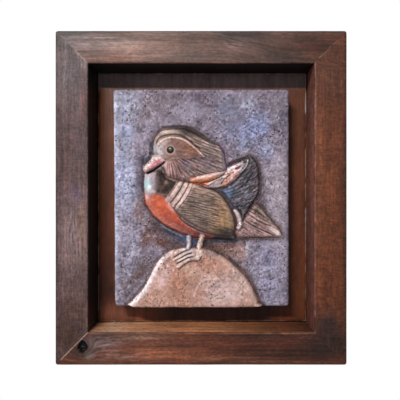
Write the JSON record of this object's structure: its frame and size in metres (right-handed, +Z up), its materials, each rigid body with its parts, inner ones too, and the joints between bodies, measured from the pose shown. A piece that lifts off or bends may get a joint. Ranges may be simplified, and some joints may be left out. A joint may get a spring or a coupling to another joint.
{
  "type": "framed relief tile",
  "caption": "Fired clay relief tile of a mandarin duck on a rock, set in a deep box frame of mitred stained wood, to hang on a wall.",
  "frame": {"origin": "on the wall plane, at the middle of the top rail's rear face, where the panel is held", "axes": "+Z up, +Y into the wall, +X to the right as one faces the panel, so the front faces -Y"},
  "size_m": [0.272, 0.0431, 0.312],
  "materials": {
    "stained_wood_top": "satin, brown stain",
    "stained_wood_bottom": "satin, dark brown stain",
    "stained_wood_left": "satin, grey brown stain",
    "stained_wood_right": "satin, red brown stain",
    "stained_board": "satin, brown stain",
    "painted_clay": "matt, coarse fired clay painted with thin colours"
  },
  "bodies": {
    "root": {"frame_top_rail": "stained_wood_top", "frame_bottom_rail": "stained_wood_bottom", "frame_left_stile": "stained_wood_left", "frame_right_stile": "stained_wood_right", "backing_board": "stained_board", "relief_tile": "painted_clay"}
  },
  "joints": []
}
